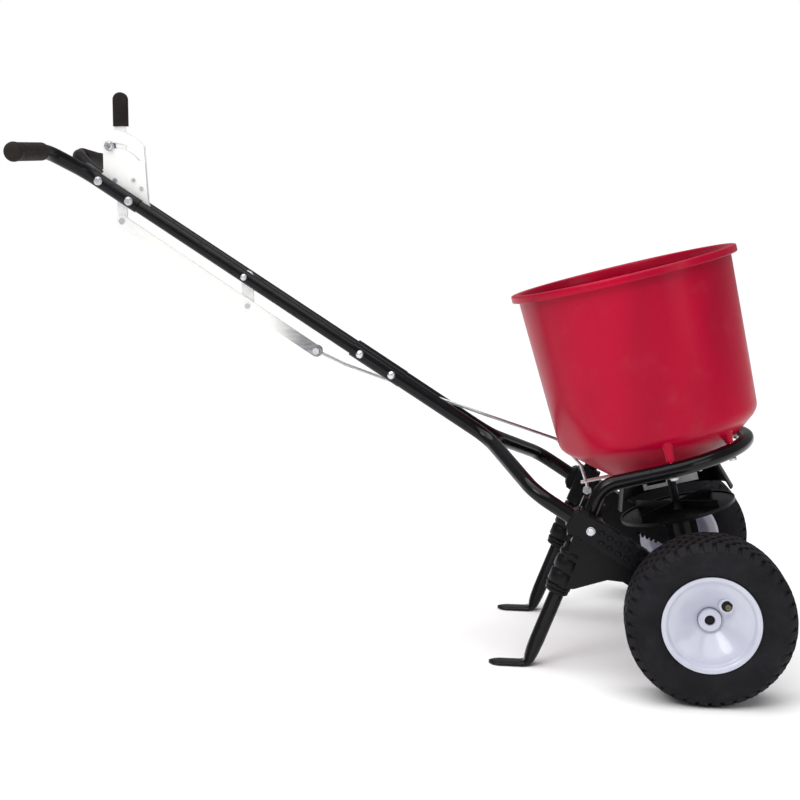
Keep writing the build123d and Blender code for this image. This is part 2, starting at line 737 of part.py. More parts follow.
def strap(start, end, half, y_low, y_high):
    """Flat strap with rounded ends between two X-Z points."""
    dx, dz = end[0] - start[0], end[1] - start[1]
    length = math.hypot(dx, dz)
    nx, nz = -dz / length * half, dx / length * half
    sides = [(start[0] + nx, start[1] + nz), (end[0] + nx, end[1] + nz)]
    sides += [(end[0] - nx, end[1] - nz), (start[0] - nx, start[1] - nz)]
    flat = plate(sides, y_low, y_high)
    return flat + cross_bar(*start, y_low, y_high, half) + cross_bar(*end, y_low, y_high, half)


def link_bar():
    flat = strap(lever_tail, clamp_pin, 9.0, *link_y)
    flat -= cross_bar(*lever_tail, -10, 10, 3.0)
    flat -= cross_bar(*hanger_pin, -10, 10, 2.5)
    return flat - cross_bar(*clamp_pin, -10, 10, 3.0)


def link_pins():
    """Pins riveted into the link bar for the lever and the hanger."""
    lever_pin = cross_bar(*lever_tail, -6.3, 3.5, 3.0)
    lever_pin += cross_bar(*lever_tail, -6.3, link_y[0], 5.0) + cross_bar(*lever_tail, 1.9, 3.5, 5.0)
    hanger = cross_bar(*hanger_pin, -6.3, 3.2, 2.5) + cross_bar(*hanger_pin, -6.3, link_y[0], 4.2)
    hanger += cross_bar(*hanger_pin, 1.6, 3.2, 4.5)
    return Compound(children=[lever_pin, hanger])


def hanger_strap():
    x, _, z = handle_point(hanger_station, 0)
    flat = strap((x, z), hanger_pin, 9.5, -1.2, 1.2)
    flat -= cross_bar(x, z, -5, 5, joint_bolt_radius + free_gap)
    return flat - cross_bar(*hanger_pin, -5, 5, 2.5 + 0.7)


def hanger_bolt():
    """Cross bolt, head, nut and spacers that carry the hanger strap."""
    x, _, z = handle_point(hanger_station, 0)
    bolt = cross_bar(x, z, -29.5, 31.0, joint_bolt_radius)
    bolt += cross_bar(x, z, -30.0, -25.6, 5.0) + hex_bar(x, z, 25.6, 30.0, 10.0)
    gap = handle_near_y - middle_radius
    return bolt + cross_bar(x, z, -gap, -1.7, 6.0) + cross_bar(x, z, 1.7, gap, 6.0)


def rod_route():
    """Centre line of the control rod, from the clamp to its hook in the gate."""
    hook = chassis_point(gate_hook[0], gate_hook[1], gate_top)
    drop = chassis_point(gate_hook[0] - 2.0, gate_hook[1], gate_top + 26)
    return [(clamp_pin[0] + 6.0, rod_y, clamp_pin[1] - 2.8), (-541.0, rod_y, 424.0), (-480.0, rod_y, 403.0),
            (-318.0, rod_y, 348.5), (-211.0, 46.0, 306.5), tuple(drop), tuple(hook + (hook - drop) * 0.35)]


def control_rod():
    rod = bent_bar(rod_route(), rod_radius, [40, 60, 60, 16, 9])
    eye = cross_bar(*clamp_pin, rod_y - rod_radius - 0.1, rod_y + rod_radius + 0.1, 9.5)
    return rod + eye - cross_bar(*clamp_pin, -10, 10, 3.0 + running_gap)


def clamp_bolt():
    """Bolt with head and nut that pins the rod's eye to the link bar."""
    bolt = cross_bar(*clamp_pin, -7.5, 8.0, 3.0)
    bolt += hex_bar(*clamp_pin, -8.5, link_y[0], 10.0)
    return bolt + hex_bar(*clamp_pin, rod_y + rod_radius + 0.4, 8.2, 10.0)


def lever_pin():
    return cross_bar(*lever_pivot, -plate_outer_y, plate_outer_y, 4.0)


# ---- export ---------------------------------------------------------------
def both_sides(name, near, parts):
    parts[name + "_right"] = near
    parts[name + "_left"] = other_side(near)


def build():
    parts = {"hoop_frame": hoop_frame(), "hopper": hopper(), "hopper_screws": hopper_screws()}
    both_sides("side_bracket", side_bracket(), parts)
    both_sides("leg_clamp", leg_clamp(), parts)
    both_sides("axle_bushing", axle_bushing(), parts)
    parts["frame_bolts"] = frame_bolts()
    both_sides("lower_tube", lower_tube(), parts)
    both_sides("middle_tube", middle_tube(), parts)
    both_sides("upper_tube", upper_tube(), parts)
    both_sides("grip", grip(), parts)
    parts["joint_bolts"] = joint_bolts()
    parts["control_bolts"] = control_bolts()
    parts["gearbox_right"], parts["gearbox_left"] = gearbox()
    parts["gate_guide"] = gate_guide()
    guide_spots, skirt_spots = floor_boss_spots()
    parts["guide_screws"] = small_screws(guide_spots, guide_top - guide_thickness, 3.2)
    parts["deflector"] = deflector()
    parts["deflector_screws"] = small_screws(skirt_spots, skirt_top - 2, 4.0)
    both_sides("control_plate", control_plate(), parts)
    parts["plate_rivets"] = plate_rivets()
    parts["lever_pivot_pin"] = lever_pin()
    parts["hanger_bolt"] = hanger_bolt()
    parts["axle"] = axle()
    parts["axle_spacers"] = axle_spacers()
    parts["axle_cap"] = axle_cap()
    parts["crown_gear"] = crown_gear()
    parts["drive_pin"] = drive_pin()
    parts["rim_left"] = rim(1, axle_radius) - bar((0, 229, 60), (0, 229, 170), 2.5)
    parts["tyre_left"] = tyre(1)
    parts["valve_left"] = valve(1)
    parts["rim_right"] = rim(-1, 8.0)
    parts["tyre_right"] = tyre(-1)
    parts["valve_right"] = valve(-1)
    parts["wheel_bushings"] = wheel_bushings()
    parts["impeller_shaft"] = impeller_shaft()
    parts["spreader_disc"] = spreader_disc()
    parts["pinion_gear"] = pinion_gear()
    parts["agitator"] = agitator()
    parts["control_lever"] = control_lever()
    parts["lever_grip"] = lever_grip()
    parts["rate_stop"] = rate_stop()
    parts["link_bar"] = link_bar()
    parts["link_pins"] = link_pins()
    parts["clamp_bolt"] = clamp_bolt()
    parts["hanger_strap"] = hanger_strap()
    parts["control_rod"] = control_rod()
    parts["shutoff_gate"] = shutoff_gate()
    return parts


os.makedirs("parts", exist_ok=True)
pieces = build()
for node, shape in pieces.items():
    export_step(Pos(axle_x, 0, 0) * shape, f"parts/{node}.step")
whole = Compound(children=[Pos(axle_x, 0, 0) * shape for shape in pieces.values()]).bounding_box()
print("low corner", whole.min, "high corner", whole.max)
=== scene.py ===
import math
import bmesh
import bpy
from mathutils import Euler, Matrix, Vector


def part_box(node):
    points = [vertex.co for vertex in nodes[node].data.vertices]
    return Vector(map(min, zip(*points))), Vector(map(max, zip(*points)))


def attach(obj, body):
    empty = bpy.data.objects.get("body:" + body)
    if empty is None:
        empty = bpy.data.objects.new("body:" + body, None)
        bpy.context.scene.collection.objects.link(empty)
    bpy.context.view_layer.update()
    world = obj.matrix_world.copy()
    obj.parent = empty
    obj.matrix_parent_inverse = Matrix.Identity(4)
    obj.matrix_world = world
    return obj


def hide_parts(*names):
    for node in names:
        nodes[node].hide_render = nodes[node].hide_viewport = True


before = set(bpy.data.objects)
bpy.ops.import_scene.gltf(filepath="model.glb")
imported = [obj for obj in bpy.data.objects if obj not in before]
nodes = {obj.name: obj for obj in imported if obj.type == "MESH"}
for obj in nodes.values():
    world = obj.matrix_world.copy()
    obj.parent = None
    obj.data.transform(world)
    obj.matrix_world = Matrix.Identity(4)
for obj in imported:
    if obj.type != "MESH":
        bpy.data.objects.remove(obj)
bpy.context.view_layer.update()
axleLow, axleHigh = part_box("axle")
axleX = (axleLow.x + axleHigh.x) / 2  # every piece is drawn about the axle, in millimetres
print("frame loaded:", len(nodes), "nodes")


# ---- shader helpers: sockets that do their own sums ----
class Wire:
    def __init__(self, recipe, socket):
        self.recipe = recipe
        self.socket = socket

    def sum(self, operation, *values):
        return self.recipe.node("ShaderNodeMath", {"operation": operation}, dict(enumerate(values)))

    def __add__(self, other):
        return self.sum("ADD", self, other)

    def __sub__(self, other):
        return self.sum("SUBTRACT", self, other)

    def __rsub__(self, other):
        return self.sum("SUBTRACT", other, self)

    def __mul__(self, other):
        return self.sum("MULTIPLY", self, other)

    __radd__ = __add__
    __rmul__ = __mul__

    def between(self, low, high):  # 0 below low, 1 above high, eased in between
        settings = {"interpolation_type": "SMOOTHSTEP"}
        return self.recipe.node("ShaderNodeMapRange", settings, {0: self, 1: low, 2: high, 3: 0.0, 4: 1.0})


class Recipe:
    def __init__(self, name, **fixed):
        self.material = bpy.data.materials.new(name)
        self.material.use_nodes = True
        self.tree = self.material.node_tree
        self.shader = next(n for n in self.tree.nodes if n.type == "BSDF_PRINCIPLED")
        for socketName, value in fixed.items():
            self.shader.inputs[socketName.replace("_", " ")].default_value = value
        self.place = self.node("ShaderNodeTexCoord", {}, {}, "Object")

    def node(self, kind, settings, inputs, output=0):
        made = self.tree.nodes.new(kind)
        for key, value in settings.items():
            setattr(made, key, value)
        for key, value in inputs.items():
            self.plug(made.inputs[key], value)
        return Wire(self, made.outputs[output])

    def plug(self, socket, value):
        if isinstance(value, Wire):
            self.tree.links.new(value.socket, socket)
        else:
            socket.default_value = value

    def set(self, socketName, value):
        self.plug(self.shader.inputs[socketName], value)

    def noise(self, scale, detail=3.0, place=None):
        inputs = {"Vector": place or self.place, "Scale": scale, "Detail": detail, "Roughness": 0.55}
        return self.node("ShaderNodeTexNoise", {}, inputs)

    def cells(self, scale, output="Distance"):
        return self.node("ShaderNodeTexVoronoi", {}, {"Vector": self.place, "Scale": scale}, output)

    def stretched(self, x, y, z):
        return self.node("ShaderNodeMapping", {}, {"Vector": self.place, "Scale": (x, y, z)})

    def mix(self, factor, first, second):
        return self.node("ShaderNodeMix", {"data_type": "RGBA"}, {0: factor, 6: first, 7: second}, 2)

    def bump(self, height, distance, strength=1.0):
        inputs = {"Height": height, "Distance": distance, "Strength": strength}
        self.set("Normal", self.node("ShaderNodeBump", {}, inputs))


def tint(red, green, blue):  # screen colour to linear
    steps = [v / 255 for v in (red, green, blue)]
    return tuple(v / 12.92 if v < 0.04 else ((v + 0.055) / 1.055) ** 2.4 for v in steps) + (1.0,)


dust = tint(150, 146, 140)


def redHopper():
    mix = {"deep": tint(150, 0, 38), "body": tint(184, 0, 46), "rough": 0.3, "grain": 900}
    r = Recipe("redPlastic", Coat_Roughness=0.16, Specular_IOR_Level=0.1)
    flow = r.noise(6.0, 2.0, r.stretched(1.0, 1.0, 0.35))  # broad shift of colour from moulding
    speck = r.noise(260.0, 4.0)
    film = r.noise(22.0, 5.0).between(0.52, 0.8)
    body = r.mix(flow.between(0.3, 0.7), mix["deep"], mix["body"])
    r.set("Base Color", r.mix(film * 0.05 + speck.between(0.66, 0.8) * 0.04, body, dust))
    r.set("Roughness", mix["rough"] + flow * 0.08 + film * 0.12)
    r.set("Coat Weight", 0.09 - film * 0.06)
    r.bump(r.noise(mix["grain"], 2.0) * 0.5 + flow * 0.8, 0.00035)
    return r.material


def blackPaint(name, rough, coat, shade):
    r = Recipe(name, Coat_Roughness=0.06, Specular_IOR_Level=0.12)
    haze = r.noise(14.0, 3.0)
    peel = r.noise(340.0, 1.0)
    film = r.noise(70.0, 6.0).between(0.56, 0.78)
    chip = r.noise(190.0, 2.0).between(0.73, 0.76)
    body = r.mix(haze.between(0.35, 0.7), shade, tuple(v * 1.7 for v in shade[:3]) + (1.0,))
    r.set("Base Color", r.mix(film * 0.008 + chip * 0.03, body, dust))
    r.set("Roughness", rough + haze * 0.1 + film * 0.12)
    r.set("Coat Weight", coat - film * 0.3 - chip * 0.2)
    r.bump(peel * 0.4 + haze * 0.6, 0.00008)
    return r.material


def blackMoulding(name, rough, shade, grain):
    r = Recipe(name, Specular_IOR_Level=0.15)
    stipple = r.cells(grain)
    cloud = r.noise(18.0, 4.0)
    scuff = r.noise(120.0, 6.0, r.stretched(1.0, 0.4, 1.0)).between(0.6, 0.75)
    body = r.mix(cloud.between(0.35, 0.7), shade, tuple(v * 1.6 for v in shade[:3]) + (1.0,))
    r.set("Base Color", r.mix(scuff * 0.012, body, dust))
    r.set("Roughness", rough + cloud * 0.14 + scuff * 0.12)
    r.bump(stipple * 0.7 + cloud * 0.3, 0.00012)
    return r.material


def zinc(name, colour, rough, spangle, dirt, metal=1.0, foot=None):
    r = Recipe(name)
    facet = r.cells(spangle, output="Color")
    tone = r.node("ShaderNodeSeparateColor", {}, {"Color": facet})
    streak = r.noise(160.0, 4.0, r.stretched(0.2, 1.0, 1.0))
    stain = r.noise(38.0, 6.0).between(0.5, 0.72)
    dull = tuple(v * (0.55 if metal > 0.9 else 0.88) for v in colour[:3]) + (1.0,)
    body = r.mix(tone * 0.25 + streak * 0.15, colour, dull)
    if foot:  # darker, in streaks, towards one end, the end nearer the axle
        along = r.node("ShaderNodeSeparateXYZ", {}, {"Vector": r.place})
        body = r.mix(along.between(*foot) * (0.35 + streak * 0.9), body, tint(96, 96, 104))
    r.set("Base Color", r.mix(stain * dirt, body, tint(70, 68, 66)))
    r.set("Metallic", metal - stain * 0.25)
    r.set("Roughness", rough + tone * 0.1 + streak * 0.12 + stain * 0.15)
    r.bump(streak * 0.5 + tone * 0.3, 0.00012)
    return r.material


def rubber(name, shade, rough, grain, dustiness):
    r = Recipe(name, Specular_IOR_Level=0.12)
    pores = r.noise(grain, 3.0)
    cloud = r.noise(24.0, 4.0)
    bloom = r.noise(80.0, 6.0).between(0.5, 0.75)
    body = r.mix(cloud.between(0.3, 0.7), shade, tuple(v * 1.8 for v in shade[:3]) + (1.0,))
    r.set("Base Color", r.mix(bloom * dustiness * 0.5, body, dust))
    r.set("Roughness", rough + cloud * 0.12 + bloom * 0.08)
    r.bump(pores + bloom * 0.3, 0.0003)
    return r.material


def whiteRim():
    r = Recipe("rimPaint", Coat_Roughness=0.05, Specular_IOR_Level=0.5)
    cloud = r.noise(12.0, 3.0)
    peel = r.noise(300.0, 1.0)
    grime = r.noise(90.0, 6.0).between(0.57, 0.78)
    body = r.mix(cloud.between(0.3, 0.7), tint(188, 190, 206), tint(200, 202, 214))
    r.set("Base Color", r.mix(grime * 0.12, body, tint(150, 145, 140)))
    r.set("Roughness", 0.26 + cloud * 0.08 + grime * 0.2)
    r.set("Coat Weight", 0.5 - grime * 0.3)
    r.bump(peel * 0.5 + cloud * 0.5, 0.00018)
    return r.material


finishes = {
    "redPlastic": redHopper(),
    "hoopPaint": blackPaint("hoopPaint", 0.15, 0.2, tint(10, 10, 12)),
    "tubePaint": blackPaint("tubePaint", 0.22, 0.14, tint(11, 11, 13)),
    "moulding": blackMoulding("blackPlastic", 0.24, tint(12, 12, 14), 1400),
    "nylon": blackMoulding("darkNylon", 0.5, tint(22, 22, 24), 700),
    "zincSheet": zinc("zincSheet", tint(250, 250, 248), 0.38, 240, 0.04, 0.3),
    "linkZinc": zinc("linkZinc", tint(250, 250, 246), 0.38, 150, 0.08, 0.3, (axleX - 0.665, axleX - 0.6)),
    "zincBolt": zinc("zincFasteners", tint(222, 222, 226), 0.2, 500, 0.15),
    "steel": zinc("bareSteel", tint(196, 196, 198), 0.32, 300, 0.3),
    "gripRubber": rubber("gripRubber", tint(32, 27, 25), 0.62, 1100, 0.04),
    "tyreRubber": rubber("tyreRubber", tint(20, 19, 22), 0.6, 800, 0.03),
    "rimPaint": whiteRim(),
    "brass": zinc("valveBrass", tint(120, 116, 96), 0.4, 400, 0.5),
}
print("finishes made:", len(finishes))


# ---- mesh helpers, all in millimetres about the axle ----
def spot(x, y, z):
    return Vector((x / 1000 + axleX, y / 1000, z / 1000))


def aimed(origin, direction):
    turn = Vector(direction).normalized().to_track_quat("Z", "Y").to_matrix().to_4x4()
    return Matrix.Translation(Vector(origin)) @ turn


def ringFace(bm, low, high, k):  # one face between two rings, either of which may be a single point
    corners = [low[k % len(low)], low[(k + 1) % len(low)], high[(k + 1) % len(high)], high[k % len(high)]]
    kept = list(dict.fromkeys(corners))
    if len(kept) > 2:
        bm.faces.new(kept)


def turned(bm, profile, steps, place, closed=False):
    loops = []
    for radius, height in profile:
        if radius < 0.001:
            loops.append([bm.verts.new(place @ Vector((0, 0, height)))])
            continue
        angles = [2 * math.pi * k / steps for k in range(steps)]
        ring = [place @ Vector((radius * math.cos(a), radius * math.sin(a), height)) for a in angles]
        loops.append([bm.verts.new(p) for p in ring])
    following = loops[1:] + (loops[:1] if closed else [])
    for low, high in zip(loops, following):
        for k in range(steps):
            ringFace(bm, low, high, k)
    return loops


def softened(points, rounds=2, closed=False):  # cuts the corners off a profile
    for _ in range(rounds):
        pairs = list(zip(points, points[1:] + (points[:1] if closed else [])))
        cut = []
        for (a, b), (c, d) in pairs:
            cut += [(a * 0.75 + c * 0.25, b * 0.75 + d * 0.25), (a * 0.25 + c * 0.75, b * 0.25 + d * 0.75)]
        points = cut if closed else [points[0]] + cut[1:-1] + [points[-1]]
    return points


def slabFrom(bm, outline, lowY, highY):
    lower = [bm.verts.new((x, lowY, z)) for x, z in outline]
    upper = [bm.verts.new((x, highY, z)) for x, z in outline]
    made = [bm.faces.new(lower), bm.faces.new(list(reversed(upper)))]
    for k in range(len(outline)):
        n = (k + 1) % len(outline)
        made.append(bm.faces.new([lower[k], upper[k], upper[n], lower[n]]))
    return made


def linked(name, bm):  # closes a bmesh and links it as an object
    mesh = bpy.data.meshes.new(name)
    bm.to_mesh(mesh)
    bm.free()
    made = bpy.data.objects.new(name, mesh)
    bpy.context.scene.collection.objects.link(made)
    return made


def inMetres(bm):
    bmesh.ops.recalc_face_normals(bm, faces=bm.faces)
    for vert in bm.verts:
        vert.co = spot(*vert.co)


def addPiece(name, bm, finish, body, stands=(), bevel=0.0, angle=32):
    inMetres(bm)
    piece = linked(name, bm)
    mesh = piece.data
    mesh.materials.append(finishes[finish])
    mesh.polygons.foreach_set("use_smooth", [True] * len(mesh.polygons))
    mesh.set_sharp_from_angle(angle=math.radians(angle))
    if bevel:
        edge = piece.modifiers.new("edge", "BEVEL")
        edge.width, edge.segments, edge.limit_method = bevel / 1000, 2, "ANGLE"
        edge.angle_limit = math.radians(angle)
        edge.harden_normals = True
    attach(piece, body)
    if stands:
        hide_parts(*stands)
    return piece


# ---- tyres ----
tyreShape = {
    "axleHeight": 114.5, "planeY": 260.0, "pitch": 40, "groove": 5.2,
    "floor": [(60.5, 32.9), (66.9, 33.8), (70.5, 37.2), (76.0, 41.2), (82.0, 43.4), (88.0, 44.3),
              (94.0, 44.2), (98.5, 43.6), (103.0, 41.5), (106.5, 37.0), (108.6, 30.0), (109.3, 18.0),
              (109.3, 6.0)],
    "crown": [(0.0, 114.4), (25.5, 114.3), (35.0, 112.4), (41.5, 107.6), (44.0, 99.5)],
    "inner": [(104.0, 12.0), (102.0, 25.0), (97.0, 36.0), (84.0, 38.5), (72.0, 34.0), (62.0, 26.5),
              (56.0, 25.8)],
}


treadRows = {  # block outlines: degrees round the tyre, millimetres across it
    "centre": [(-3.9, 0.0), (-2.1, -6.2), (2.1, -6.2), (3.9, 0.0), (2.1, 6.2), (-2.1, 6.2)],
    "inner": [(-3.3, 8.8), (-1.5, 7.4), (3.5, 10.6), (3.7, 17.6), (1.9, 19.2), (-3.1, 15.6)],
    "outer": [(-3.6, 20.8), (-1.6, 18.6), (3.4, 21.6), (3.6, 28.6), (1.6, 30.4), (-3.2, 27.4)],
    "edge": [(-3.0, 31.6), (-0.4, 30.0), (3.5, 32.0), (3.7, 38.0), (2.9, 42.6), (-2.7, 42.6)],
}


def crownRadius(y):
    table = tyreShape["crown"]
    y = abs(y)
    for (y0, r0), (y1, r1) in zip(table, table[1:]):
        if y <= y1:
            return r0 + (r1 - r0) * (y - y0) / (y1 - y0)
    return table[-1][1]


def treadBlock(bm, place, middle, outline):
    foot, shoulder, top = [], [], []
    for turn, y in outline:
        rise = crownRadius(y)
        for ring, radius, shrink in ((foot, rise - tyreShape["groove"] - 1.2, 1.05),
                                     (shoulder, rise - 0.7, 0.97), (top, rise, 0.88)):
            centreY = sum(p[1] for p in outline) / len(outline)
            a = math.radians(middle + turn * shrink)
            across = centreY + (y - centreY) * shrink
            ring.append(bm.verts.new(place @ Vector((radius * math.cos(a), radius * math.sin(a), across))))
    for low, high in ((foot, shoulder), (shoulder, top)):
        for k in range(len(low)):
            n = (k + 1) % len(low)
            bm.faces.new([low[k], low[n], high[n], high[k]])
    bm.faces.new(top)


def tyre(side, body):
    sideName = "left" if side > 0 else "right"
    place = aimed((0, side * tyreShape["planeY"], tyreShape["axleHeight"]), (0, side, 0))
    bm = bmesh.new()
    half = softened(tyreShape["floor"], 1)
    profile = half + [(r, -y) for r, y in reversed(half)]
    profile += [(r, -y) for r, y in reversed(tyreShape["inner"])] + tyreShape["inner"]
    turned(bm, profile, 160, place, closed=True)
    step = 360 / tyreShape["pitch"]
    for k in range(tyreShape["pitch"]):
        treadBlock(bm, place, k * step, treadRows["centre"])
        for sign in (-1, 1):
            for row, shift in (("inner", 0.5), ("outer", 0.0), ("edge", 0.5)):
                treadBlock(bm, place, (k + shift) * step, [(t, sign * y) for t, y in treadRows[row]])
    addPiece("tyre_" + sideName, bm, "tyreRubber", body, ["tyre_" + sideName], angle=28)


# ---- rims ----
rimShape = {
    "planeY": 260.0, "axleHeight": 114.5, "port": (31.0, 48.0),
    "outer": [(61.5, 33.4), (65.8, 34.4), (66.7, 35.4), (66.3, 36.0), (63.5, 36.0), (60.2, 34.6),
              (58.2, 31.5), (57.2, 29.6), (53.5, 28.2), (51.0, 27.0), (45.0, 23.6), (30.0, 12.8),
              (19.0, 4.9), (16.0, 3.9)],
    "back": [(16.0, -4.0), (30.0, 4.0), (43.0, 15.0), (46.5, 12.0), (50.0, -24.0), (52.5, -28.5),
             (57.5, -32.6), (61.5, -36.0), (66.2, -36.0), (66.2, -34.4), (61.5, -33.0), (55.0, -26.5),
             (51.5, 0.0), (55.0, 26.5)],
    "hub": [(6.9, -37.5), (15.0, -37.5), (16.0, -36.5), (16.0, 3.6), (15.6, 9.0), (14.6, 10.2), (7.6, 10.2),
            (6.9, 9.5)],
}


def portPlace(side, depth):
    radius, angle = rimShape["port"][0], math.radians(rimShape["port"][1])
    height = rimShape["axleHeight"] + radius * math.sin(angle)
    return (radius * math.cos(angle), side * (rimShape["planeY"] + depth), height)


def rim(side, body):
    sideName = "left" if side > 0 else "right"
    place = aimed((0, side * rimShape["planeY"], rimShape["axleHeight"]), (0, side, 0))
    bm = bmesh.new()
    turned(bm, softened(rimShape["outer"] + rimShape["back"], 2, True), 128, place, closed=True)
    turned(bm, softened(rimShape["hub"], 1, True), 64, place, closed=True)
    port = aimed(portPlace(side, 0), (0, side, 0))
    ring = [(7.3, 6.0), (10.6, 8.0), (10.8, 17.6), (10.2, 19.4), (9.0, 19.9), (7.6, 19.4), (7.2, 17.6)]
    turned(bm, softened(ring, 1, True), 48, port, closed=True)
    addPiece("rim_" + sideName, bm, "rimPaint", body, ["rim_" + sideName], angle=30)
    dark = bmesh.new()  # painted shade: dark discs plug the port and the hub bore to stand for the dark inside of the holes, with the valve standing in the port
    turned(dark, [(0, 18.4), (7.4, 18.4), (7.4, 9.0), (0, 9.0)], 32, port)
    turned(dark, [(0, 6.2), (6.9, 6.2), (6.9, 2.0), (0, 2.0)], 32, place)
    addPiece("rim_hole_shade_" + sideName, dark, "nylon", body)


def valve(side, body):
    sideName = "left" if side > 0 else "right"
    port = aimed(portPlace(side, 0), (0, side, 0))
    bm = bmesh.new()
    stem = [(0, 14.0), (3.6, 14.0), (3.6, 18.6), (2.8, 19.0), (2.8, 19.8), (3.7, 19.8), (3.9, 20.3),
            (3.9, 21.0), (3.1, 21.4), (1.6, 21.4), (1.2, 20.6), (0, 20.6)]
    turned(bm, stem, 28, port @ Matrix.Translation((1.6, -1.2, 0)))
    addPiece("valve_" + sideName, bm, "brass", body, ["valve_" + sideName])


for side, body in ((-1, "free_wheel"), (1, "drive_axle")):
    tyre(side, body)
    rim(side, body)
    valve(side, body)
print("wheels made")


# ---- hopper ----
hopperShape = {
    "tilt": 14.14, "setback": 2.5, "wall": 3.0, "rimHeight": 475.5, "rimRadius": 171.4, "steps": 288,
    "outer": [(0, 165.0), (60, 165.0), (76.0, 165.6), (84.0, 172.0), (130.0, 211.0), (139.0, 218.4),
              (146.5, 224.8), (151.0, 231.5), (152.5, 240.0), (161.5, 463.5)],
    "scoops": (150.5, 209.5), "scoopBase": (143.8, 217.0), "scoopTop": (155.6, 302.0), "scoopRound": 1.6,
}
tiltTurn = Matrix.Translation((0, 0, 114.5)) @ Matrix.Rotation(-math.radians(hopperShape["tilt"]), 4, "Y")


def alongProfile(points, spacing):
    out = []
    for (r0, w0), (r1, w1) in zip(points, points[1:]):
        count = max(1, round(math.dist((r0, w0), (r1, w1)) / spacing))
        out += [(r0 + (r1 - r0) * k / count, w0 + (w1 - w0) * k / count) for k in range(count)]
    return out + [points[-1]]


def scooped(radius, azimuth, height, shift):
    shape = hopperShape
    if not 212 < height < 318 or radius < 100:
        return radius
    (r0, w0), (r1, w1) = shape["scoopBase"], shape["scoopTop"]
    flat = r0 + (r1 - r0) * (height - w0) / (w1 - w0) - shift
    for middle in shape["scoops"]:
        turn = math.radians(azimuth - middle)
        if abs(turn) < 0.7:
            plane = flat / math.cos(turn)
            gap = (radius - plane) / shape["scoopRound"]
            if gap > 8:
                radius = plane
            elif gap > -8:
                radius -= shape["scoopRound"] * math.log1p(math.exp(gap))
    return radius


def hopper():
    shape = hopperShape
    bm = bmesh.new()
    outer = alongProfile(softened(shape["outer"], 1), 5.0)
    inner = [(max(r - shape["wall"], 0), w + shape["wall"]) for r, w in outer]
    lip = [(161.5, 471.0), (163.0, 472.3), (168.6, 472.4), (169.2, 471.0), (169.2, 465.6), (169.7, 464.7),
           (170.6, 464.5), (171.3, 465.2), (171.4, 466.5), (171.4, 473.0), (170.6, 474.8), (168.6, 475.5),
           (162.0, 475.5), (159.6, 474.8), (158.6, 473.0)]
    inner = [p for p in reversed(inner) if p[1] < 466]
    rings = [(r, w, 0.0) for r, w in outer] + [(r, w, None) for r, w in lip]
    rings += [(r, w, shape["wall"]) for r, w in inner]
    steps, loops = shape["steps"], []
    for radius, height, shift in rings:
        loop = []
        for k in range(steps if radius > 0.001 else 1):
            azimuth = 360 * k / steps
            bent = radius if shift is None else scooped(radius, azimuth, height, shift)
            a = math.radians(azimuth)
            corner = Vector((bent * math.cos(a) - shape["setback"], bent * math.sin(a), height))
            loop.append(bm.verts.new(tiltTurn @ corner))
        loops.append(loop)
    for low, high in zip(loops, loops[1:]):
        for k in range(steps):
            ringFace(bm, low, high, k)
    shell = addPiece("hopper", bm, "redPlastic", "chassis", ["hopper"], angle=50)
    holes = [(0, 0, 5.4)] + [(30, y, 8.0) for y in (-20, 0, 20)]  # shaft hole and the three ports
    drill = bmesh.new()
    for u, y, radius in holes:
        profile = [(0, 150), (radius, 150), (radius, 180), (0, 180)]
        turned(drill, profile, 32, tiltTurn @ Matrix.Translation((u, y, 0)))
    inMetres(drill)
    cutter = linked("drill", drill)
    cut = shell.modifiers.new("ports", "BOOLEAN")
    cut.operation, cut.object, cut.solver = "DIFFERENCE", cutter, "EXACT"
    bpy.context.view_layer.update()
    drilled = bpy.data.meshes.new_from_object(shell.evaluated_get(bpy.context.evaluated_depsgraph_get()))
    shell.modifiers.clear()
    shell.data = drilled
    bpy.data.objects.remove(cutter)


def funnelHeight(radius):
    outer = hopperShape["outer"]
    for (r0, w0), (r1, w1) in zip(outer, outer[1:]):
        if r1 > r0 and radius <= r1:
            return w0 + (w1 - w0) * (radius - r0) / (r1 - r0)
    return outer[-1][1]


def hopperPegs():
    bm = bmesh.new()
    for angle in (82, 40, -40, -82):  # pegs down to the hoop, flared where they meet the funnel
        u, y = -19.5 + 143 * math.cos(math.radians(angle)), 143 * math.sin(math.radians(angle))
        profile = [(0, 198.6), (5.4, 198.6), (6.0, 199.2), (6.0, 207.0), (6.6, 300), (8.4, 301), (0, 302)]
        loops = turned(bm, profile, 28, Matrix.Translation((u, y, 0)))
        for drop, loop in ((4.0, loops[4]), (-1.5, loops[5]), (-1.5, loops[6])):
            for vert in loop:
                reach = math.hypot(vert.co.x + hopperShape["setback"], vert.co.y)
                vert.co.z = funnelHeight(reach) - drop
    bosses = [(-44, -38, 161, 3.5), (44, 38, 161, 3.5), (44, -38, 161, 3.5), (-19, 38, 161, 3.5)]
    for angle in (5, 60, 125):
        turn = math.radians(angle)
        bosses.append((70 * math.cos(turn), 70 * math.sin(turn), 158.4, 4.5))
    for u, y, low, radius in bosses:
        turned(bm, [(0, low), (radius, low), (radius, 166.5), (0, 166.5)], 20, Matrix.Translation((u, y, 0)))
    bm.transform(tiltTurn)
    addPiece("hopper_pegs", bm, "redPlastic", "chassis", angle=50)


hopper()
hopperPegs()
print("hopper made")


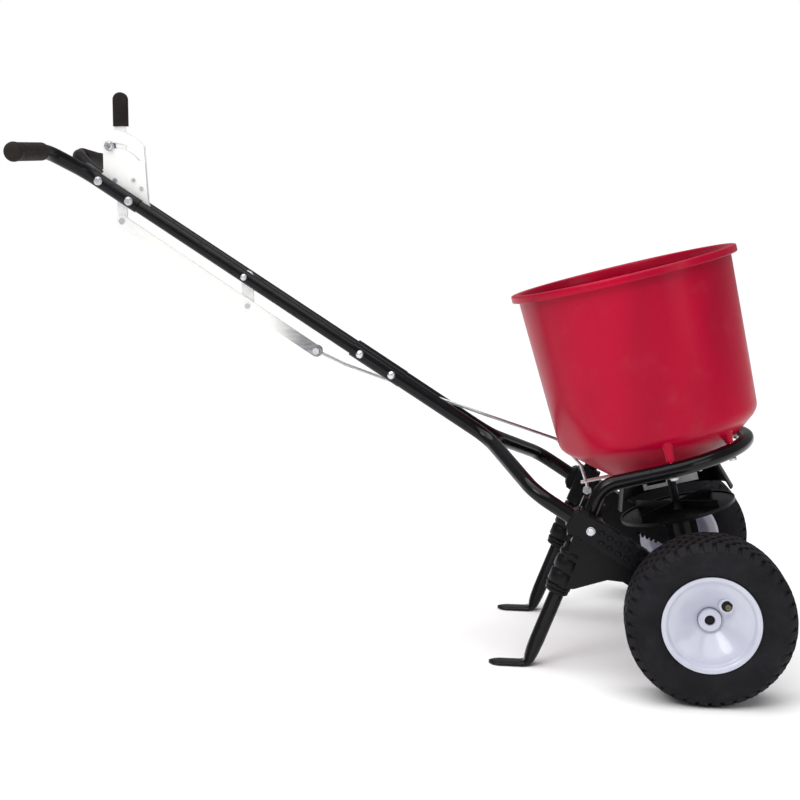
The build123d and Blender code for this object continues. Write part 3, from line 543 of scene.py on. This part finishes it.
# ---- side brackets ----
bracketShape = {
    "bolt": (-160.0, 211.5), "axle": (0.0, 114.5), "outerY": 179.5, "innerY": 150.5, "bossEnd": 205.8,
    "arm": [(-31, 17), (20, 18), (90, 15), (150, 12), (178, 11), (187, 4), (187, -8), (176, -14), (120, -16),
            (60, -17), (-30, -17), (-34, -13), (-35, 12)],  # outline from the frame bolt to the axle
    "arch": [(-206.0, 121.0), (-182.0, 121.0), (-160.0, 128.0), (-134.0, 136.0), (-112.0, 134.0),
             (-96.0, 124.0)],
    "lozenge": [(-6.3, 0), (-1.2, -4.6), (6.3, 0), (1.2, 4.6)],
    "lozenges": 11, "lozengePitch": 14.0, "lozengeStart": 14.0, "lozengeEnd": 150.0,
    "ribs": 8, "ribPitch": 7.6, "ribThick": 3.4,
    "blocks": [(-30, 20, -20), (-6, 20, -21), (24, 19, -21), (50, 17.5, -20), (74, 16.5, -19)],
}


def armPoint(along, across):
    (bx, bz), (ax, az) = bracketShape["bolt"], bracketShape["axle"]
    length = math.dist((bx, bz), (ax, az))
    dx, dz = (ax - bx) / length, (az - bz) / length
    return (bx + along * dx - across * dz, bz + along * dz + across * dx)


def legPoint(z):
    corner = tiltTurn @ Vector((-101.8, 0, 187.0))
    return corner.x - (corner.z - z) * 0.3975


def bracket(side):
    sideName = "left" if side > 0 else "right"
    shape = bracketShape
    bm = bmesh.new()
    outer, inner = side * shape["outerY"], side * shape["innerY"]
    faces = slabFrom(bm, [armPoint(*p) for p in shape["arm"]], inner, outer)
    edges = list({e for f in faces[:2] for e in f.edges})
    bmesh.ops.bevel(bm, geom=edges, offset=2.4, segments=3, affect="EDGES")
    web = [armPoint(-20, -5), armPoint(120, -5)] + list(reversed(shape["arch"]))
    slabFrom(bm, web, side * 153.5, side * 160.0)
    legLow, legHigh = Vector((legPoint(112), side * 143.0, 112)), Vector((legPoint(183), side * 143.0, 183))
    lean = aimed(legLow, legHigh - legLow)
    length = (legHigh - legLow).length
    sleeve = [(11.2, 0.0), (15.0, 0.0), (17.2, 1.6), (17.6, 6.0)]
    for low, high, radius in ((7.0, 13.0, 18.4), (15.0, 34.0, 19.4), (37.0, 55.0, 19.4), (58.0, 66.0, 18.6)):
        sleeve += [(radius - 2.2, low), (radius - 0.5, low + 0.7), (radius, low + 1.8), (radius, high - 1.8),
                   (radius - 0.5, high - 0.7), (radius - 2.2, high)]
    sleeve += [(16.0, length - 1), (11.2, length)]
    turned(bm, sleeve, 48, lean, closed=True)
    for k, (start, rise, drop) in enumerate(shape["blocks"]):
        block = [armPoint(start, rise), armPoint(start + 18 - k, rise), armPoint(start + 18 - k, drop),
                 armPoint(start, drop)]  # stepped blocks moulded round the arm
        made = slabFrom(bm, block, inner - side * 1.0, outer - side * (0.8 + 0.3 * k))
        edges = list({e for f in made for e in f.edges})
        bmesh.ops.bevel(bm, geom=edges, offset=2.6, segments=3, affect="EDGES")
    boss = [(9.05, 0.0), (20.0, 0.0), (20.0, 40.0), (19.4, 50.0), (18.2, 54.4), (16.8, 55.3), (9.05, 55.3)]
    turned(bm, softened(boss, 1, True), 64, aimed((0, inner, 114.5), (0, side, 0)), closed=True)
    for k in range(shape["lozenges"]):  # two rows of raised lozenges along the arm
        for row, drop in ((6.6, 0.0), (-6.2, 7.0)):
            along = shape["lozengeStart"] + shape["lozengePitch"] * k + drop
            if along > shape["lozengeEnd"]:
                continue
            cx, cz = armPoint(along, row)
            points = [armPoint(along + dx, row + dz) for dx, dz in shape["lozenge"]]
            ring = [bm.verts.new((x, outer - side * 0.6, z)) for x, z in points]
            taper = [(cx + (x - cx) * 0.62, cz + (z - cz) * 0.62) for x, z in points]
            top = [bm.verts.new((x, outer + side * 2.6, z)) for x, z in taper]
            for n in range(4):
                m = (n + 1) % 4
                bm.faces.new([ring[n], ring[m], top[m], top[n]])
            bm.faces.new(top)
    for k in range(shape["ribs"]):  # close ribs round the arm, near the axle
        start = 92 + shape["ribPitch"] * k
        depth = 30 - 1.4 * k
        end = start + shape["ribThick"]
        rib = [armPoint(start, 17), armPoint(end, 17), armPoint(end, -depth), armPoint(start, -depth)]
        slabFrom(bm, rib, side * 157.0, side * 180.6)
    addPiece("side_bracket_" + sideName, bm, "moulding", "chassis",
             ["side_bracket_" + sideName], bevel=0.5, angle=38)


for side in (-1, 1):
    bracket(side)
print("brackets made")


# ---- grips ----
gripShape = {
    "root": (-987.0, 66.5, 748.0), "end": (-991.4, 197.0, 742.0),
    "bulb": [(0, 0.15), (5.0, 0.3), (9.0, 1.1), (12.0, 2.9), (13.8, 5.6), (14.5, 8.6), (14.4, 11.6),
             (13.9, 14.0)],
}


def grip(side):
    sideName = "left" if side > 0 else "right"
    root, end = (Vector((x, side * y, z)) for x, y, z in (gripShape["root"], gripShape["end"]))
    profile = list(gripShape["bulb"])
    for k in range(18):  # shallow moulded rings
        low = 16.0 + 5.0 * k
        profile += [(13.6, low), (13.6, low + 3.6), (13.3, low + 4.2), (13.3, low + 4.6)]
    profile += [(13.6, 106.4), (13.2, 108.2), (12.4, 109.0), (11.1, 109.0), (11.1, 104.0)]
    bm = bmesh.new()
    turned(bm, profile, 56, aimed(end, root - end))
    addPiece("grip_" + sideName, bm, "gripRubber", "chassis", ["grip_" + sideName], angle=60)


for side in (-1, 1):
    grip(side)
print("grips made")


# ---- hoop frame ----
hoopShape = {
    "bend": 143.0, "centreU": -19.5, "cornerU": -101.8, "height": 187.0, "cornerBend": 42.0,
    "footTip": -304.0, "heel": -247.5, "footZ": 2.75, "heelBend": 15.0, "sides": 28,
    "press": [(0, 2.75, 0.0), (5, 2.75, 9.6), (14, 2.75, 13.6), (44, 2.75, 14.0), (52, 4.2, 14.0),
              (62, 8.4, 13.4), (74, 10.2, 12.6), (92, 11.0, 11.6), (118, 11.0, 11.0)],
}


def roundedPath(points, bends, steps=10):  # straight runs joined by arcs
    path = [Vector(points[0])]
    for before, corner, after, radius in zip(points, points[1:], points[2:], bends):
        back, on = (Vector(p) - Vector(corner) for p in (before, after))
        back.normalize()
        on.normalize()
        half = back.angle(on) / 2
        start = Vector(corner) + back * radius / math.tan(half)
        centre = Vector(corner) + (back + on).normalized() * radius / math.sin(half)
        end = Vector(corner) + on * radius / math.tan(half)
        for k in range(steps + 1):
            t = k / steps
            path.append(centre + ((start - centre).slerp(end - centre, t)).normalized() * radius)
    return path + [Vector(points[-1])]


def resampled(path, spacing):
    out = [path[0]]
    for a, b in zip(path, path[1:]):
        count = max(1, round((b - a).length / spacing))
        out += [a.lerp(b, k / count) for k in range(1, count + 1)]
    return out


def pressedSize(distance):
    table = hoopShape["press"]
    for (d0, thick0, wide0), (d1, thick1, wide1) in zip(table, table[1:]):
        if distance <= d1:
            t = (distance - d0) / (d1 - d0)
            return thick0 + (thick1 - thick0) * t, wide0 + (wide1 - wide0) * t
    return table[-1][1:]


def hoopFrame():
    shape = hoopShape

    def tilted(u, y):
        return tiltTurn @ Vector((u, y, shape["height"]))

    bend = shape["bend"]
    points = [Vector((x, -bend, shape["footZ"])) for x in (shape["footTip"], shape["heel"])]
    points += [tilted(shape["cornerU"], -bend), tilted(shape["centreU"], -bend)]
    path = roundedPath(points, [shape["heelBend"], shape["cornerBend"]])
    for k in range(1, 37):
        a = math.radians(-90 + 90 * k / 36)
        path.append(tilted(shape["centreU"] + bend * math.cos(a), bend * math.sin(a)))
    path = resampled(path, 4.0)
    bm, loops, travelled, wide = bmesh.new(), [], 0.0, Vector((0, -1, 0))
    for k, point in enumerate(path):
        ahead = (path[min(k + 1, len(path) - 1)] - path[max(k - 1, 0)]).normalized()
        if k == len(path) - 1:
            ahead = Vector((0, 1, 0))
        travelled += (point - path[max(k - 1, 0)]).length
        wide = (wide - ahead * wide.dot(ahead)).normalized()
        thin = ahead.cross(wide)
        halfThin, halfWide = pressedSize(travelled)
        squareness = 1.0 - 0.45 * max(0.0, min(1.0, (70 - travelled) / 30))  # pressed ends are boxier
        ring = []
        for n in range(shape["sides"]):
            a = 2 * math.pi * n / shape["sides"]
            c, d = math.cos(a), math.sin(a)
            c, d = math.copysign(abs(c) ** squareness, c), math.copysign(abs(d) ** squareness, d)
            place = point + wide * halfWide * c + thin * halfThin * d
            ring.append(bm.verts.new((place.x, place.y, max(place.z, 0.05))))  # nothing below the ground
        loops.append(ring)
    for low, high in zip(loops, loops[1:]):
        for n in range(shape["sides"]):
            m = (n + 1) % shape["sides"]
            bm.faces.new([low[n], low[m], high[m], high[n]])
    mirrored = bmesh.ops.duplicate(bm, geom=list(bm.verts) + list(bm.edges) + list(bm.faces))
    copied = [v for v in mirrored["geom"] if isinstance(v, bmesh.types.BMVert)]
    for vert in copied:
        vert.co.y = -vert.co.y
    bmesh.ops.remove_doubles(bm, verts=bm.verts, dist=0.01)
    addPiece("hoop_frame", bm, "hoopPaint", "chassis", ["hoop_frame"], angle=50)


hoopFrame()
print("hoop frame made")


# ---- lever grip ----
leverShape = {"x": -892.6, "top": 841.1, "length": 52.0, "half": 11.5, "thick": 12.0}


def leverGrip():
    shape, bm, rows = leverShape, bmesh.new(), []
    arc = [math.pi * k / 20 for k in range(21)]
    half = [(3.2, 0.5), (1.0, 0.44), (0.15, 0.32), (0, 0.2)]  # how far in, at which share of the thickness
    for shrink, y in half + [(shrink, -y) for shrink, y in reversed(half)]:
        reach, middle = shape["half"] - shrink, shape["top"] - shape["half"]
        outline = [(shape["x"] + reach * math.cos(a), middle + reach * math.sin(a)) for a in arc]
        low = shape["top"] - shape["length"] + shrink * 0.5
        outline += [(shape["x"] - reach, low), (shape["x"] + reach, low)]
        rows.append([bm.verts.new((x, y * shape["thick"], z)) for x, z in outline])
    for front, back in zip(rows, rows[1:]):
        for k in range(len(front)):
            n = (k + 1) % len(front)
            bm.faces.new([front[k], front[n], back[n], back[k]])
    bm.faces.new(rows[0])
    bm.faces.new(rows[-1])
    addPiece("lever_grip", bm, "gripRubber", "lever", ["lever_grip"], angle=40)


leverGrip()
print("lever grip made")


# ---- bolts ----
boltShape = {  # stations run up the handle from the frame bolt
    "slope": math.radians(32.65), "bolt": (-160.0, 211.5), "rise": 4.85,
    "joints": (362.0, 420.0), "controls": (848.6, 905.3), "hanger": 635.0, "stop": (-910.4, 759.2),
}


def handleSpot(station, rise=boltShape["rise"]):
    x, z = boltShape["bolt"]
    return (x - station * math.cos(boltShape["slope"]), z + rise + station * math.sin(boltShape["slope"]))


def domedHead(bm, x, z, seat, outward, radius, height):
    profile = [(0, -1.0), (radius, -1.0), (radius, 0.6)]
    profile += [(radius * math.cos(a), 0.6 + (height - 0.6) * math.sin(a)) for a in (0.35, 0.7, 1.05, 1.35)]
    turned(bm, profile + [(0, height)], 40, aimed((x, seat, z), (0, outward, 0)))


def hexHead(bm, x, z, seat, outward, flats, height, turn=0.0):
    place = aimed((x, seat, z), (0, outward, 0)) @ Matrix.Rotation(turn, 4, "Z")
    reach, steps, rings = flats / 2 / math.cos(math.pi / 6), 48, []
    for level, cap in ((0.0, 0.5), (0.5, 0.0), (height - 1.0, 0.0), (height - 0.45, 0.7), (height, 1.4)):
        ring = []
        for k in range(steps):
            a = 2 * math.pi * k / steps
            edge = flats / 2 / math.cos((a % (math.pi / 3)) - math.pi / 6)
            radius = min(edge, reach - cap)
            ring.append(bm.verts.new(place @ Vector((radius * math.cos(a), radius * math.sin(a), level))))
        rings.append(ring)
    for low, high in zip(rings, rings[1:]):
        for k in range(steps):
            n = (k + 1) % steps
            bm.faces.new([low[k], low[n], high[n], high[k]])
    bm.faces.new(rings[0])
    bm.faces.new(rings[-1])


def shank(bm, x, z, low, high, radius):
    length = high - low
    profile = [(0, 0), (radius - 0.5, 0), (radius, 0.5), (radius, length - 0.6), (radius - 0.6, length)]
    turned(bm, profile + [(0, length)], 28, aimed((x, low, z), (0, 1, 0)))


def washer(bm, x, z, seat, outward, radius, thick=1.2):
    profile = [(0, 0), (radius - 0.2, 0), (radius, 0.3), (radius, thick - 0.3), (radius - 0.3, thick)]
    turned(bm, profile + [(0, thick)], 40, aimed((x, seat, z), (0, outward, 0)))


def fasteners():
    bm = bmesh.new()
    for station in boltShape["joints"]:
        x, z = handleSpot(station)
        shank(bm, x, z, -29.0, 33.0, 2.9)
        domedHead(bm, x, z, -27.6, -1, 6.2, 5.0)
        hexHead(bm, x, z, 27.9, 1, 10.0, 4.8)
    addPiece("joint_bolts", bm, "zincBolt", "chassis", ["joint_bolts"])
    bm = bmesh.new()
    for station in boltShape["controls"]:
        x, z = handleSpot(station)
        for side in (-1, 1):
            low, high = sorted((side * 2.9, side * 30.0))
            shank(bm, x, z, low, high, 2.9)
            washer(bm, x, z, side * 26.9, side, 6.6)
            hexHead(bm, x, z, side * 28.0, side, 10.0, 3.6, 0.3)
    addPiece("control_bolts", bm, "zincBolt", "chassis", ["control_bolts"])
    bm = bmesh.new()
    x, z = bracketShape["bolt"]
    for side in (-1, 1):
        low, high = sorted((side * 116.5, side * 186.0))
        shank(bm, x, z, low, high, 3.9)
        washer(bm, x, z, side * 179.6, side, 6.4, 1.4)
        hexHead(bm, x, z, side * 180.9, side, 9.4, 5.6, 0.2)
        hexHead(bm, x, z, side * 124.0, -side, 13.0, 6.4, 0.5)
    addPiece("frame_bolts", bm, "zincBolt", "chassis", ["frame_bolts"])
    bm = bmesh.new()
    x, z = boltShape["stop"]
    shank(bm, x, z, -12.0, 12.5, 3.9)
    for side in (-1, 1):
        washer(bm, x, z, side * 5.0, side, 8.0, 1.6)
        hexHead(bm, x, z, side * 6.6, side, 12.0, 5.4, 0.1)
    addPiece("rate_stop", bm, "zincBolt", "rate_stop_body", ["rate_stop"])
    bm = bmesh.new()
    x, z = handleSpot(boltShape["hanger"])
    shank(bm, x, z, -27.0, 31.0, 2.9)
    domedHead(bm, x, z, -25.6, -1, 5.2, 4.4)
    hexHead(bm, x, z, 25.6, 1, 10.0, 4.4)
    for side in (-1, 1):
        washer(bm, x, z, side * 1.7, side, 6.0, 4.7)
    addPiece("hanger_bolt", bm, "zincBolt", "chassis", ["hanger_bolt"])


fasteners()
print("fasteners made")


# ---- frame parts that keep their shape and get a finish ----
carried = {
    "hoopPaint": ["lower_tube_left", "lower_tube_right"],
    "tubePaint": ["middle_tube_left", "middle_tube_right", "upper_tube_left", "upper_tube_right"],
    "moulding": ["leg_clamp_left", "leg_clamp_right", "gearbox_left", "gearbox_right", "deflector",
                 "spreader_disc"],
    "nylon": ["axle_bushing_left", "axle_bushing_right", "axle_cap", "crown_gear", "pinion_gear",
              "wheel_bushings"],
    "zincSheet": ["control_plate_left", "control_plate_right", "control_lever", "gate_guide", "shutoff_gate",
                  "hanger_strap"],
    "linkZinc": ["link_bar"],
    "zincBolt": ["plate_rivets", "lever_pivot_pin", "link_pins", "clamp_bolt", "guide_screws",
                 "deflector_screws", "hopper_screws", "axle_spacers"],
    "steel": ["axle", "drive_pin", "impeller_shaft", "agitator", "control_rod"],
}
for finish, names in carried.items():
    for name in names:
        nodes[name].data.materials.clear()
        nodes[name].data.materials.append(finishes[finish])
print("frame nodes finished:", sum(len(names) for names in carried.values()))


# ---- floor, light and camera ----
studio = {
    "floorShade": tint(252, 252, 252), "sky": 0.28, "backdrop": 1.0,
    "key": 34, "fill": 12, "top": 16, "even": 2.6,
}


def floor():
    bm = bmesh.new()
    bmesh.ops.create_grid(bm, x_segments=8, y_segments=8, size=45.0)
    plane = linked("floor", bm)
    r = Recipe("floorCard", Specular_IOR_Level=0.2)
    r.set("Base Color", r.mix(r.noise(1.3, 2.0), studio["floorShade"], tint(253, 253, 253)))
    r.set("Roughness", 0.8 + r.noise(30.0) * 0.1)
    plane.data.materials.append(r.material)


def softLight(name, place, target, size, power):
    data = bpy.data.lights.new(name, "AREA")
    data.shape, data.size, data.size_y, data.energy = "RECTANGLE", size[0], size[1], power
    lamp = bpy.data.objects.new(name, data)
    lamp.location = place
    lamp.rotation_euler = (Vector(target) - Vector(place)).to_track_quat("-Z", "Y").to_euler()
    bpy.context.scene.collection.objects.link(lamp)


floor()
softLight("keyLight", (-1.6, -2.6, 2.6), (0.0, 0.0, 0.4), (1.6, 1.2), studio["key"])
softLight("fillLight", (2.6, -2.0, 1.4), (0.1, 0.0, 0.4), (1.2, 1.8), studio["fill"])
softLight("topLight", (0.0, 0.4, 3.2), (0.0, 0.0, 0.3), (2.6, 1.6), studio["top"])
evenData = bpy.data.lights.new("evenLight", "SUN")  # keeps the floor pale right to the back
evenData.energy, evenData.angle = studio["even"], math.radians(75)
evenLight = bpy.data.objects.new("evenLight", evenData)
evenLight.rotation_euler = (math.radians(12), math.radians(-8), 0)
bpy.context.scene.collection.objects.link(evenLight)
world = bpy.data.worlds.new("paleRoom")
bpy.context.scene.world = world
world.use_nodes = True
tree = world.node_tree
glow, shown = tree.nodes["Background"], tree.nodes.new("ShaderNodeBackground")
backgrounds = (glow, (0.96, 0.97, 1.0, 1.0), "sky"), (shown, (1.0, 1.0, 1.0, 1.0), "backdrop")
for light, colour, strength in backgrounds:
    light.inputs["Color"].default_value = colour
    light.inputs["Strength"].default_value = studio[strength]
path, blend = tree.nodes.new("ShaderNodeLightPath"), tree.nodes.new("ShaderNodeMixShader")
tree.links.new(path.outputs["Is Camera Ray"], blend.inputs[0])
tree.links.new(glow.outputs[0], blend.inputs[1])
tree.links.new(shown.outputs[0], blend.inputs[2])
tree.links.new(blend.outputs[0], tree.nodes["World Output"].inputs["Surface"])
bpy.context.scene.view_settings.view_transform = "Standard"

view = {"offset": (-0.2105, -2.1114, 0.6584), "yaw": 0.115, "pitch": -0.135, "roll": 0.005, "lens": 62.0}
cameraData = bpy.data.cameras.new("sideView")
cameraData.lens, cameraData.sensor_width = view["lens"], 36.0
camera = bpy.data.objects.new("sideView", cameraData)
bpy.context.scene.collection.objects.link(camera)
aim = Euler((math.pi / 2 + view["pitch"], 0, view["yaw"])).to_matrix() @ Matrix.Rotation(view["roll"], 3, "Z")
place = Matrix.Translation((axleX + view["offset"][0], view["offset"][1], view["offset"][2]))
camera.matrix_world = place @ aim.to_4x4()
bpy.context.scene.camera = camera
print("floor, lights and camera placed")

bpy.context.view_layer.update()
